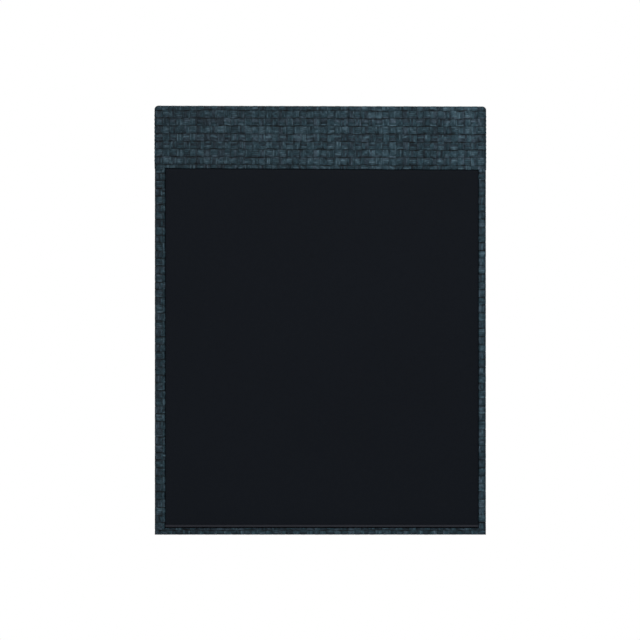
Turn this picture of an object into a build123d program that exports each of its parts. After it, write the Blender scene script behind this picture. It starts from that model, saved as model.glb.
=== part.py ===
"""Wall punch pad: a boxed foam striking pad on a plywood board, hung on two pairs of Z-shaped hook bars.

Millimetres. +X is right, +Z is up and the striking face looks along -Y. The wall is the plane y = 0, and
the origin is the centre of the four wall screw holes. Depths are distances from the wall, so a depth d lies
at y = -d.
"""

import os
from functools import cache

from build123d import *

# Overall size
WIDTH, HEIGHT = 340.0, 440.0
TOP_CORNER_R, BOTTOM_CORNER_R = 4.0, 1.5
HALF_W, TOP, BOTTOM = WIDTH / 2, HEIGHT / 2, -HEIGHT / 2

# Visible widths of the woven border round the striking face
HEADER_H = 64.6
BORDER_LEFT, BORDER_RIGHT, BORDER_BOTTOM = 10.7, 7.6, 6.4
OPEN_LEFT, OPEN_RIGHT = -HALF_W + BORDER_LEFT, HALF_W - BORDER_RIGHT
OPEN_TOP, OPEN_BOTTOM = TOP - HEADER_H, BOTTOM + BORDER_BOTTOM

# Layers, as depths from the wall
STANDOFF = 8.0
BOARD_T = 12.0
BASE_FOAM_T = 18.0
IMPACT_FOAM_T = 21.2
BACKING_CLOTH_T = 0.8
COMFORT_FOAM_T = 10.0
FACE_VINYL_T = 1.2
COVER_T = 1.3
BOARD_FRONT = STANDOFF + BOARD_T
BASE_FRONT = BOARD_FRONT + BASE_FOAM_T
IMPACT_FRONT = BASE_FRONT + IMPACT_FOAM_T
CLOTH_FRONT = IMPACT_FRONT + BACKING_CLOTH_T
COMFORT_FRONT = CLOTH_FRONT + COMFORT_FOAM_T
FACE_FRONT = COMFORT_FRONT + FACE_VINYL_T
RAIL_FRONT = FACE_FRONT - 0.2
COVER_FRONT = RAIL_FRONT + COVER_T

# Striking cushion
FACE_GAP = 0.4
FACE_GAP_BOTTOM = 1.0
BOXING_T = 1.0
WELT_R = 1.4

# Woven cover: inner return round the opening and the flange turned over the back of the board
RETURN_DEPTH = 15.0
TURNOVER_W = 22.0

# Dust cover on the back
DUST_T = 0.5
DUST_LAP = 9.0

# Hook bars
BAR_LENGTH, BAR_T = 240.0, 3.0
BAR_CORNER_R = 2.0
WALL_HOLE_X, WALL_HOLE_Z, WALL_HOLE_R = 100.0, 135.0, 2.75
WALL_FLANGE_BELOW, WALL_FLANGE_ABOVE = 12.0, 8.0
WALL_LEG_BACK = 3.9
HOOK_HEIGHT = 14.0
PAD_LEG_BACK = 0.4
SEAT_GAP = 0.1
PAD_FLANGE_H = 20.0
PAD_JOG_H = 3.0
HOOK_END_GAP = 1.0
DUST_FACE = STANDOFF - DUST_T
PAD_FLANGE_BACK = DUST_FACE - BAR_T

# Fasteners
SCREW_R, SCREW_HEAD_R, SCREW_HEAD_H, SCREW_LENGTH = 2.5, 4.6, 2.6, 16.0
SCREW_FIT = 0.1
TEE_FLANGE_R, TEE_FLANGE_T, TEE_BARREL_R, TEE_BARREL_L = 8.0, 1.2, 3.4, 9.0
TEE_PRONG_W, TEE_PRONG_T, TEE_PRONG_L, TEE_PRONGS = 2.4, 0.9, 6.0, 4
TEE_POCKET_GAP, TEE_POCKET_DEPTH = 0.5, 2.0
STAPLE_CROWN, STAPLE_WIRE_W, STAPLE_WIRE_T, STAPLE_LEG = 10.0, 1.1, 0.6, 7.0
STAPLE_LEG_T = 0.7
COVER_STAPLE_INSET, COVER_STAPLE_PITCH = 6.5, 38.0
DUST_STAPLE_INSET, DUST_STAPLE_PITCH = 4.5, 58.0

# Bumpers on the back
BUMPER_X, BUMPER_Z, BUMPER_R, BUMPER_TIP_R = 130.0, 184.0, 11.0, 9.0
BUMPER_TIP = 0.3
BUMPER_SCREW_R, BUMPER_HEAD_R, BUMPER_HEAD_H = 1.9, 3.9, 1.6
BUMPER_SCREW_L, BUMPER_POINT_L, BUMPER_POINT_R = 14.0, 3.0, 0.3
BUMPER_RECESS_R, BUMPER_SEAT = 4.3, 3.3

# Breather eyelets in the underside
EYELET_X = (-90.0, 0.0, 90.0)
EYELET_DEPTH = 46.0
EYELET_R, EYELET_BARREL_R, EYELET_BORE_R, EYELET_FLANGE_T = 5.0, 3.2, 2.5, 0.7


def block(x0, x1, d0, d1, z0, z1):
    """A box between two x, two depths from the wall and two z."""
    centre = ((x0 + x1) / 2, -(d0 + d1) / 2, (z0 + z1) / 2)
    return Pos(*centre) * Box(abs(x1 - x0), abs(d1 - d0), abs(z1 - z0))


def cylinder_y(x, z, radius, d0, d1, tip_radius=None):
    """A cylinder or cone along Y, from depth d0, where it has radius, to depth d1."""
    tip = radius if tip_radius is None else tip_radius
    place = Pos(x, -(d0 + d1) / 2, z) * Rot(90 if d1 > d0 else -90, 0, 0)
    length = abs(d1 - d0)
    return place * (Cylinder(radius, length) if tip == radius else Cone(radius, tip, length))


def outline_slab(inset, d0, d1):
    """The pad's front outline, taken in by inset, between two depths."""
    plane = Plane(origin=(0, -d0, 0), x_dir=(1, 0, 0), z_dir=(0, -1, 0))
    flat = Rectangle(WIDTH - 2 * inset, HEIGHT - 2 * inset)
    flat = fillet(flat.vertices().group_by(Axis.Y)[-1], max(TOP_CORNER_R - inset, 0.5))
    flat = fillet(flat.vertices().group_by(Axis.Y)[0], max(BOTTOM_CORNER_R - inset, 0.2))
    return extrude(plane * flat, amount=d1 - d0)


def opening_slab(outset, d0, d1):
    """The striking opening, grown by outset on every side, between two depths."""
    return block(OPEN_LEFT - outset, OPEN_RIGHT + outset, d0, d1, OPEN_BOTTOM - outset, OPEN_TOP + outset)


def face_block(inset, d0, d1, bottom_inset=None):
    """The striking cushion's outline, taken in by inset, between two depths."""
    low = inset if bottom_inset is None else bottom_inset
    x0, x1 = OPEN_LEFT + FACE_GAP + inset, OPEN_RIGHT - FACE_GAP - inset
    z0, z1 = OPEN_BOTTOM + FACE_GAP_BOTTOM + low, OPEN_TOP - FACE_GAP - inset
    return block(x0, x1, d0, d1, z0, z1)


# ---------------------------------------------------------------- hook bars


def bar_from(profile):
    """A hook bar extruded along X from (depth, z) corners, with its ends' lower and upper corners eased."""
    points = [(0, -d, z) for d, z in profile]
    section = make_face(Polyline(*points, close=True))
    bar = extrude(section, amount=BAR_LENGTH / 2, both=True, dir=(1, 0, 0))
    corners = bar.edges().filter_by(Axis.Y)
    heights = corners.group_by(Axis.Z)
    return fillet(list(heights[0]) + list(heights[-1]), BAR_CORNER_R)


def wall_bar(hole_z):
    """The bar screwed to the wall: a flange with two holes and a leg that stands up, clear of the wall."""
    low, jog = hole_z - WALL_FLANGE_BELOW, hole_z + WALL_FLANGE_ABOVE
    top, front = jog + HOOK_HEIGHT, WALL_LEG_BACK + BAR_T
    bar = bar_from(
        [
            (0, low),
            (BAR_T, low),
            (BAR_T, jog - BAR_T),
            (front, jog - BAR_T),
            (front, top),
            (WALL_LEG_BACK, top),
            (WALL_LEG_BACK, jog),
            (0, jog),
        ]
    )
    for x in (-WALL_HOLE_X, WALL_HOLE_X):
        bar -= cylinder_y(x, hole_z, WALL_HOLE_R, -1, BAR_T + 1)
    return bar


def pad_bar_levels(hole_z):
    """Heights of the pad bar over the wall bar at hole_z: leg tip, seat, flange bottom and flange top."""
    seat = hole_z + WALL_FLANGE_ABOVE + HOOK_HEIGHT + SEAT_GAP
    leg_tip = hole_z + WALL_FLANGE_ABOVE + HOOK_END_GAP
    return leg_tip, seat, seat + PAD_JOG_H, seat + PAD_JOG_H + PAD_FLANGE_H


def pad_screw_z(hole_z):
    """The height of the screws that hold the pad bar to the board."""
    levels = pad_bar_levels(hole_z)
    return (levels[2] + levels[3]) / 2


def pad_bar(hole_z):
    """The bar screwed to the board: a flange with two holes and a leg that hooks behind the wall bar's."""
    tip, seat, flange_low, flange_top = pad_bar_levels(hole_z)
    leg_front = PAD_LEG_BACK + BAR_T
    bar = bar_from(
        [
            (PAD_LEG_BACK, tip),
            (leg_front, tip),
            (leg_front, seat),
            (DUST_FACE, seat),
            (DUST_FACE, flange_top),
            (PAD_FLANGE_BACK, flange_top),
            (PAD_FLANGE_BACK, flange_low),
            (PAD_LEG_BACK, flange_low),
        ]
    )
    for x in (-WALL_HOLE_X, WALL_HOLE_X):
        bar -= cylinder_y(x, pad_screw_z(hole_z), SCREW_R + SCREW_FIT, 0, DUST_FACE + 1)
    return bar


def bar_screw_places():
    """(x, z) of the four machine screws that hold the pad bars."""
    return [(x, pad_screw_z(z)) for z in (WALL_HOLE_Z, -WALL_HOLE_Z) for x in (-WALL_HOLE_X, WALL_HOLE_X)]


def cross_recess(x, z, face_depth, size, depth):
    """The cutter for a screw head's cross recess, sunk into a head whose outer face is at face_depth."""
    arm = size * 0.28
    across = block(x - size, x + size, face_depth - 1, face_depth + depth, z - arm, z + arm)
    upright = block(x - arm, x + arm, face_depth - 1, face_depth + depth, z - size, z + size)
    return across + upright


def bar_screw(x, z):
    """A pan head machine screw with a cross recess, driven from the wall side."""
    head_face = PAD_FLANGE_BACK - SCREW_HEAD_H
    head = cylinder_y(x, z, SCREW_HEAD_R, head_face, PAD_FLANGE_BACK)
    head = fillet(head.edges().group_by(Axis.Y)[-1], SCREW_HEAD_H * 0.45)
    shank = cylinder_y(x, z, SCREW_R, PAD_FLANGE_BACK, PAD_FLANGE_BACK + SCREW_LENGTH)
    return head + shank - cross_recess(x, z, head_face, SCREW_R * 0.9, 1.4)


def tee_nut(x, z):
    """A pronged tee nut pressed into the foam side of the board."""
    flange = cylinder_y(x, z, TEE_FLANGE_R, BOARD_FRONT, BOARD_FRONT + TEE_FLANGE_T)
    barrel = cylinder_y(x, z, TEE_BARREL_R, BOARD_FRONT - TEE_BARREL_L, BOARD_FRONT)
    nut = flange + barrel
    for k in range(TEE_PRONGS):
        prong = Pos(TEE_FLANGE_R - TEE_PRONG_T / 2, -(BOARD_FRONT - TEE_PRONG_L / 2), 0) * Box(
            TEE_PRONG_T, TEE_PRONG_L, TEE_PRONG_W
        )
        nut += Pos(x, 0, z) * Rot(0, 360 / TEE_PRONGS * (k + 0.5), 0) * prong
    return nut - cylinder_y(x, z, SCREW_R + SCREW_FIT, 0, BOARD_FRONT + TEE_FLANGE_T + 1)


# ---------------------------------------------------------------- board and foam


def backing_board():
    """Birch plywood board with the tee nut holes, the bumpers' pilot holes and the staple holes."""
    board = outline_slab(COVER_T, STANDOFF, BOARD_FRONT)
    for x, z in bar_screw_places():
        board -= cylinder_y(x, z, TEE_BARREL_R, STANDOFF - 1, BOARD_FRONT + 1)
        board -= tee_nut(x, z)
    for x, z in bumper_places():
        board -= cylinder_y(x, z, BUMPER_SCREW_R + SCREW_FIT, STANDOFF - 1, BUMPER_SEAT + BUMPER_SCREW_L)
    return board - staple_legs()


def tee_nut_pockets():
    """The cutters that leave room in the foam for the tee nuts' flanges."""
    radius = TEE_FLANGE_R + TEE_POCKET_GAP
    depth = BOARD_FRONT + TEE_POCKET_DEPTH
    return [cylinder_y(x, z, radius, BOARD_FRONT - 1, depth) for x, z in bar_screw_places()]


def base_foam():
    """Firm rebonded foam next to the board, with pockets over the lower tee nuts."""
    return opening_slab(COVER_T, BOARD_FRONT, BASE_FRONT) - tee_nut_pockets()


def header_block():
    """Dense foam block behind the woven header band, with pockets over the upper tee nuts."""
    low = OPEN_TOP + COVER_T
    header = outline_slab(COVER_T, BOARD_FRONT, RAIL_FRONT)
    header &= block(-HALF_W, HALF_W, BOARD_FRONT, RAIL_FRONT, low, TOP)
    return header - tee_nut_pockets()


def edge_rails():
    """Dense foam strips under the side and bottom borders. The eyelets pierce the bottom one."""
    half = HALF_W - COVER_T
    floor, head = BOTTOM + COVER_T, OPEN_TOP + COVER_T
    low = OPEN_BOTTOM - COVER_T
    body = outline_slab(COVER_T, BOARD_FRONT, RAIL_FRONT)
    left = body & block(-half, OPEN_LEFT - COVER_T, BOARD_FRONT, RAIL_FRONT, low, head)
    right = body & block(OPEN_RIGHT + COVER_T, half, BOARD_FRONT, RAIL_FRONT, low, head)
    bottom = body & block(-half, half, BOARD_FRONT, RAIL_FRONT, floor, low)
    for x in EYELET_X:
        bottom -= Pos(x, -EYELET_DEPTH, floor) * Cylinder(EYELET_BARREL_R, 20)
    return {"edge_rail_left": left, "edge_rail_right": right, "edge_rail_bottom": bottom}


# ---------------------------------------------------------------- woven cover


def cover_panels():
    """The woven cover's four sewn panels: header, left, right and bottom, mitred at the lower corners."""
    outside = outline_slab(0, STANDOFF, COVER_FRONT) - outline_slab(COVER_T, STANDOFF - 1, RAIL_FRONT)
    flange = outline_slab(0, STANDOFF - COVER_T, STANDOFF)
    flange -= block(
        -HALF_W + TURNOVER_W,
        HALF_W - TURNOVER_W,
        STANDOFF - COVER_T - 1,
        STANDOFF + 1,
        BOTTOM + TURNOVER_W,
        TOP - TURNOVER_W,
    )
    inner = opening_slab(COVER_T, COVER_FRONT - RETURN_DEPTH, COVER_FRONT)
    inner -= opening_slab(0, COVER_FRONT - RETURN_DEPTH - 1, COVER_FRONT + 1)
    shell = outside - opening_slab(0, RAIL_FRONT - 1, COVER_FRONT + 1) + flange + inner

    header = shell & block(-HALF_W, HALF_W, 0, COVER_FRONT, OPEN_TOP, TOP)
    panels = {"cover_header": header}
    rest = shell - header
    for name, side in (("cover_left", -1), ("cover_right", 1)):
        region = side_panel_region(side)
        panels[name] = rest & region
        rest -= region
    for x in EYELET_X:
        rest -= Pos(x, -EYELET_DEPTH, BOTTOM) * Cylinder(EYELET_BARREL_R, 20)
        rest -= Pos(x, -EYELET_DEPTH, BOTTOM) * Cylinder(EYELET_R, 2 * EYELET_FLANGE_T)
    panels["cover_bottom"] = rest
    return {name: panel - staple_legs() for name, panel in panels.items()}


def side_panel_region(side):
    """The space that the left (side -1) or right (side 1) panel fills, with its mitre at the foot."""
    outer, inner = side * HALF_W, side * (HALF_W - TURNOVER_W)
    corners = [(outer, BOTTOM), (inner, BOTTOM + TURNOVER_W), (inner, OPEN_TOP), (outer, OPEN_TOP)]
    outline = make_face(Polyline(*[(x, 0, z) for x, z in corners], close=True))
    return extrude(outline, COVER_FRONT + 1, (0, -1, 0))


def vent_eyelets():
    """Rolled eyelets let flush into the underside, so that air can leave the foam."""
    eyelets = []
    length = BORDER_BOTTOM + 0.6
    for x in EYELET_X:
        flange = Cylinder(EYELET_R, EYELET_FLANGE_T, align=(Align.CENTER, Align.CENTER, Align.MIN))
        barrel = Cylinder(EYELET_BARREL_R, length, align=(Align.CENTER, Align.CENTER, Align.MIN))
        bore = Cylinder(EYELET_BORE_R, 3 * length)
        eyelets.append(Pos(x, -EYELET_DEPTH, BOTTOM) * (flange + barrel - bore))
    return Compound(children=eyelets)


# ---------------------------------------------------------------- striking cushion


def face_parts():
    """The striking cushion: vinyl face, boxing, comfort foam, backing cloth and the welt along its foot."""
    welt_h = 2 * WELT_R
    face = face_block(0, COMFORT_FRONT, FACE_FRONT, bottom_inset=welt_h)
    foam = face_block(BOXING_T, CLOTH_FRONT, COMFORT_FRONT)
    boxing = face_block(0, CLOTH_FRONT, COMFORT_FRONT) - foam
    cloth = face_block(0, IMPACT_FRONT, CLOTH_FRONT)
    x0, x1 = OPEN_LEFT + FACE_GAP, OPEN_RIGHT - FACE_GAP
    welt_z = OPEN_BOTTOM + FACE_GAP_BOTTOM + WELT_R
    welt = Pos((x0 + x1) / 2, -(COMFORT_FRONT + WELT_R), welt_z) * Rot(0, 90, 0) * Cylinder(WELT_R, x1 - x0)
    tail = block(x0, x1, COMFORT_FRONT, COMFORT_FRONT + WELT_R, welt_z - 0.5, welt_z + WELT_R)
    return {
        "face_panel": face,
        "face_boxing": boxing,
        "comfort_foam": foam,
        "face_backing_cloth": cloth,
        "face_welt": welt + tail,
    }


def impact_foam():
    """Closed cell foam that gives under a punch, between the cushion and the firm base foam."""
    return face_block(0, BASE_FRONT, IMPACT_FRONT)


# ---------------------------------------------------------------- back of the board


def dust_cover():
    """Non-woven cloth over the back of the board, stepped up on to the cover's turned edge."""
    inner_x, inner_z = HALF_W - TURNOVER_W, TOP - TURNOVER_W
    rim_x, rim_z = inner_x + DUST_LAP, inner_z + DUST_LAP
    rim_front, rim_back = STANDOFF - COVER_T, STANDOFF - COVER_T - DUST_T
    sheet = block(-inner_x, inner_x, DUST_FACE, STANDOFF, -inner_z, inner_z)
    rim = block(-rim_x, rim_x, rim_back, rim_front, -rim_z, rim_z)
    rim -= block(-inner_x, inner_x, 0, STANDOFF, -inner_z, inner_z)
    step = block(-inner_x, inner_x, rim_back, DUST_FACE, -inner_z, inner_z)
    step -= block(-inner_x + DUST_T, inner_x - DUST_T, 0, STANDOFF, -inner_z + DUST_T, inner_z - DUST_T)
    cloth = sheet + step + rim
    for x, z in bar_screw_places():
        cloth -= cylinder_y(x, z, SCREW_R + SCREW_FIT, 0, STANDOFF + 1)
    for x, z in bumper_places():
        cloth -= cylinder_y(x, z, BUMPER_SCREW_R + SCREW_FIT, 0, STANDOFF + 1)
    return cloth - staple_legs()


def bumper_places():
    """(x, z) of the four bumpers."""
    return [(x, z) for z in (BUMPER_Z, -BUMPER_Z) for x in (-BUMPER_X, BUMPER_X)]


def rubber_bumper(x, z):
    """A tapered rubber bumper that keeps the pad parallel to the wall, recessed for its screw."""
    body = cylinder_y(x, z, BUMPER_R, DUST_FACE, BUMPER_TIP, BUMPER_TIP_R)
    body = fillet(body.edges().group_by(Axis.Y)[-1], 1.0)
    body -= cylinder_y(x, z, BUMPER_RECESS_R, 0, BUMPER_SEAT)
    return body - cylinder_y(x, z, BUMPER_SCREW_R + SCREW_FIT, 0, DUST_FACE + 1)


def bumper_screw(x, z):
    """A wood screw with a cross recess at the bottom of a bumper's recess."""
    face = BUMPER_SEAT - BUMPER_HEAD_H
    tip = BUMPER_SEAT + BUMPER_SCREW_L
    head = cylinder_y(x, z, BUMPER_HEAD_R, face, BUMPER_SEAT)
    shank = cylinder_y(x, z, BUMPER_SCREW_R, BUMPER_SEAT, tip - BUMPER_POINT_L)
    point = cylinder_y(x, z, BUMPER_SCREW_R, tip - BUMPER_POINT_L, tip, BUMPER_POINT_R)
    return head + shank + point - cross_recess(x, z, face, BUMPER_SCREW_R, 1.0)


# ---------------------------------------------------------------- staples


def staple_places(inset, pitch):
    """(x, z, runs along X) of the staples round a rectangle inset from the outline."""
    half_x, half_z = HALF_W - inset, TOP - inset
    places = []
    for half_run, offset, along_x in ((half_x, half_z, True), (half_z, half_x, False)):
        count = int((2 * half_run - STAPLE_CROWN) // pitch)
        step = 2 * half_run / (count + 1)
        for k in range(count):
            run = -half_run + (k + 1) * step
            for side in (-offset, offset):
                places.append((run, side, True) if along_x else (side, run, False))
    return places


def staple_bar(x, z, along_x, start, end, d0, d1):
    """A piece of staple wire from start to end along the staple's crown, between two depths."""
    half = STAPLE_WIRE_W / 2
    if along_x:
        return block(x + start, x + end, d0, d1, z - half, z + half)
    return block(x - half, x + half, d0, d1, z + start, z + end)


def staple_leg_pair(x, z, along_x, face_depth):
    """The two legs of a staple whose crown lies on a surface at face_depth."""
    half, tip = STAPLE_CROWN / 2, face_depth + STAPLE_LEG
    low = staple_bar(x, z, along_x, -half, -half + STAPLE_LEG_T, face_depth, tip)
    high = staple_bar(x, z, along_x, half - STAPLE_LEG_T, half, face_depth, tip)
    return [low, high]


def staple_sets():
    """The cover's staples and the dust cover's staples, as (places, depth of the surface they sit on)."""
    cover = staple_places(COVER_STAPLE_INSET, COVER_STAPLE_PITCH)
    dust = staple_places(TURNOVER_W - DUST_LAP + DUST_STAPLE_INSET, DUST_STAPLE_PITCH)
    return (cover, STANDOFF - COVER_T), (dust, STANDOFF - COVER_T - DUST_T)


def staples(places, face_depth):
    """A group of staples, each one solid."""
    half = STAPLE_CROWN / 2
    group = []
    for x, z, along_x in places:
        crown = staple_bar(x, z, along_x, -half, half, face_depth - STAPLE_WIRE_T, face_depth)
        group.append(crown + staple_leg_pair(x, z, along_x, face_depth))
    return Compound(children=group)


@cache
def staple_legs():
    """Every staple's legs, which cut their own holes in the cloth, the vinyl and the board."""
    legs = []
    for places, face_depth in staple_sets():
        for x, z, along_x in places:
            legs += staple_leg_pair(x, z, along_x, face_depth)
    return legs


def all_parts():
    """Every sub-part by node name."""
    screws = bar_screw_places()
    cover_set, dust_set = staple_sets()
    parts = {
        "wall_bar_upper": wall_bar(WALL_HOLE_Z),
        "wall_bar_lower": wall_bar(-WALL_HOLE_Z),
        "pad_bar_upper": pad_bar(WALL_HOLE_Z),
        "pad_bar_lower": pad_bar(-WALL_HOLE_Z),
        "bar_screws": Compound(children=[bar_screw(x, z) for x, z in screws]),
        "tee_nuts": Compound(children=[tee_nut(x, z) for x, z in screws]),
        "backing_board": backing_board(),
        "base_foam": base_foam(),
        "impact_foam": impact_foam(),
        "header_block": header_block(),
        "vent_eyelets": vent_eyelets(),
        "dust_cover": dust_cover(),
        "rubber_bumpers": Compound(children=[rubber_bumper(x, z) for x, z in bumper_places()]),
        "bumper_screws": Compound(children=[bumper_screw(x, z) for x, z in bumper_places()]),
        "cover_staples": staples(*cover_set),
        "dust_cover_staples": staples(*dust_set),
    }
    parts.update(edge_rails())
    parts.update(cover_panels())
    parts.update(face_parts())
    return parts


def main():
    os.makedirs("parts", exist_ok=True)
    for name, shape in all_parts().items():
        export_step(shape, f"parts/{name}.step")
        print(f"{name}: {len(shape.solids())} solids")


main()
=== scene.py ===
"""The wall punch pad's looks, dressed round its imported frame. Metres, in the frame's own axes.

The striking face looks along -Y, the wall is the plane y = 0 and +Z is up. Woven vinyl covers the casing, a
black vinyl cushion fills its opening, and hook bars, bumpers and a dust cover are on the back.
"""

import math

import bpy
import numpy as np
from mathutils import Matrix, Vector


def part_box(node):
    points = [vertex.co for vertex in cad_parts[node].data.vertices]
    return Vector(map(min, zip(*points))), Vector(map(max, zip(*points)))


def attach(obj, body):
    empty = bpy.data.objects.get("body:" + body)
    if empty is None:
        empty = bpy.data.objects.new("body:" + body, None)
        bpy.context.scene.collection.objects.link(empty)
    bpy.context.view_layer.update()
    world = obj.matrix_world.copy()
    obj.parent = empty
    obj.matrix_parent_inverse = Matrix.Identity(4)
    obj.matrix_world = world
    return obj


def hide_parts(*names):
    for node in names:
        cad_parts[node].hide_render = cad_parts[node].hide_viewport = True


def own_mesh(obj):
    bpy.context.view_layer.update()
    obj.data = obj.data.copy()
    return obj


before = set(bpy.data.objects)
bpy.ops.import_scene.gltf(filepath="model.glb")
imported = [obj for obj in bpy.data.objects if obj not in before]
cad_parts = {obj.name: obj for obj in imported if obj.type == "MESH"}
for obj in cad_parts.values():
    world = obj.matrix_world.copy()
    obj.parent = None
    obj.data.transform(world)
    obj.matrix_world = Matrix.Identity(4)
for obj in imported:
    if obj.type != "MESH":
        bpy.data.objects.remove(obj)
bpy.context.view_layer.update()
MM = 0.001
TURN, QUARTER = 2 * math.pi, math.pi / 2

# The view: how much height the picture takes in at the pad's front, and the lens
VIEW_HEIGHT = 656.5 * MM
LENS, SENSOR = 130.0, 36.0
EYE_X, EYE_Z = -0.35 * MM, 0.5 * MM

# Weave: blocks of strands that go over and under in turn, and how far the threads stray
BLOCK_W, BLOCK_H = 7.04 * MM, 7.97 * MM
STRANDS = 4
LINES_PER_BLOCK = 2 * STRANDS
RELIEF = 0.5 * MM
SWAY, SWAY_LENGTH, SWAY_FADE = 0.3 * MM, 63 * MM, 12 * MM
WANDER, WANDER_CELL, WANDER_FADE = 0.7 * MM, 7.5 * MM, 5 * MM
HELD_EDGE, HELD_END = 4 * MM, 6 * MM

# Where the relief thins out: at seams, on the turned-over edge and where the cloth is taut at the front edges
SEAM_FADE = 2.2 * MM
TURNOVER_RELIEF, TAUT_RELIEF = 0.3, 0.45
TAUT_DEPTH, TAUT_FADE = 14 * MM, 8 * MM

# Woven cover. The foot border's lip stands a little higher than its foam, so that the slit over it is narrow
FOOT_LIP = 0.45 * MM
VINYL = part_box("edge_rail_left")[0].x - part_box("cover_left")[0].x
LEFT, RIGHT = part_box("cover_header")[0].x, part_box("cover_header")[1].x
BOTTOM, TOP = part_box("cover_bottom")[0].z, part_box("cover_header")[1].z
FRONT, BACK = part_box("cover_header")[0].y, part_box("cover_header")[1].y
OPEN_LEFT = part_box("edge_rail_left")[1].x + VINYL
OPEN_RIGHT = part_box("edge_rail_right")[0].x - VINYL
OPEN_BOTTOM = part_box("edge_rail_bottom")[1].z + VINYL + FOOT_LIP
OPEN_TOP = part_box("cover_header")[0].z
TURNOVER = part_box("cover_left")[1].x - LEFT
RETURN_DEPTH = 15 * MM
SHEET_T = 1.0 * MM
EDGE_R, BACK_R, LIP_R, HEM_R = 2.8 * MM, 1.6 * MM, 1.2 * MM, 0.45 * MM
HEADER_EDGE_R, HEADER_END_R, RUN_OUT = 4.0 * MM, 3.9 * MM, 14 * MM
HEADER_LIFT, HEM_DEPTH, LINING_GAP, TUCK = 0.35 * MM, 1.1 * MM, 0.3 * MM, 0.3 * MM
HEADER_SLOPE_TOP, HEADER_SLOPE_HEM = 0.0026, 0.0051
END_RUN = 40 * MM
HOLE_R = (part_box("vent_eyelets")[1].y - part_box("vent_eyelets")[0].y) / 2 + 0.05 * MM
TOPSTITCH, THREAD_R, THREAD_SUNK, SEAM_ALLOWANCE = 4.2 * MM, 0.42 * MM, 0.15 * MM, 3.2 * MM

# Striking cushion
CUSHION_R, CUSHION_PITCH = 1.0 * MM, 6.5 * MM
CROWN, SEAM_DEPTH, SKIN_T = 0.6 * MM, 2.2 * MM, 0.9 * MM
FACE_FIT, FACE_LIFT, UNDER_PIPING = 0.1 * MM, 0.3 * MM, 1.0 * MM
STITCH, HEM_END, HEM_RAISE = 3.0 * MM, -0.15 * MM, 0.35 * MM
SIM_FRAMES = 20


def srgb(r, g, b):
    """A colour given as 0 to 255 in sRGB, as linear values."""
    linear = [(v / 255 + 0.055) / 1.055 for v in (r, g, b)]
    return tuple(v**2.4 for v in linear) + (1.0,)


def smooth(t):
    """0 below 0, 1 above 1, and a smooth step between."""
    t = np.clip(t, 0.0, 1.0)
    return t * t * (3 - 2 * t)


# ------------------------------------------------------------------ camera, light and floor


def add(thing):
    """Puts an object in the scene."""
    bpy.context.scene.collection.objects.link(thing)
    return thing


def make_camera():
    data = bpy.data.cameras.new("camera")
    data.lens, data.sensor_width = LENS, SENSOR
    data.clip_end = 20
    camera = add(bpy.data.objects.new("camera", data))
    camera.location = (EYE_X, FRONT - VIEW_HEIGHT * LENS / SENSOR, EYE_Z)
    camera.rotation_euler = (QUARTER, 0, 0)
    bpy.context.scene.camera = camera


def area_light(name, place, size, watts, target=(0, FRONT, 0)):
    data = bpy.data.lights.new(name, "AREA")
    data.shape, data.size, data.size_y, data.energy = "RECTANGLE", size[0], size[1], watts
    light = add(bpy.data.objects.new(name, data))
    light.location = place
    direction = Vector(target) - light.location
    light.rotation_euler = direction.to_track_quat("-Z", "Y").to_euler()


def make_world():
    """White behind everything, and a softer grey that lights the pad."""
    world = bpy.data.worlds.new("studio")
    bpy.context.scene.world = world
    world.use_nodes = True
    nodes, links = world.node_tree.nodes, world.node_tree.links
    nodes.clear()
    seen, light = nodes.new("ShaderNodeBackground"), nodes.new("ShaderNodeBackground")
    seen.inputs["Color"].default_value = (1, 1, 1, 1)
    light.inputs["Color"].default_value = (0.95, 0.97, 1.0, 1)
    light.inputs["Strength"].default_value = 0.23
    path, mix = nodes.new("ShaderNodeLightPath"), nodes.new("ShaderNodeMixShader")
    output = nodes.new("ShaderNodeOutputWorld")
    links.new(path.outputs["Is Camera Ray"], mix.inputs[0])
    links.new(light.outputs[0], mix.inputs[1])
    links.new(seen.outputs[0], mix.inputs[2])
    links.new(mix.outputs[0], output.inputs["Surface"])


def make_studio():
    bpy.context.scene.view_settings.view_transform = "Standard"
    make_camera()
    make_world()
    area_light("key", (0.6, -2.1, 1.3), (1.9, 1.7), 43)
    area_light("fill", (-1.9, -1.5, 0.6), (1.4, 1.4), 16)
    area_light("rim", (-0.6, 1.8, 1.5), (1.2, 1.2), 26, (0, BACK, 0))


# ------------------------------------------------------------------ materials


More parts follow.
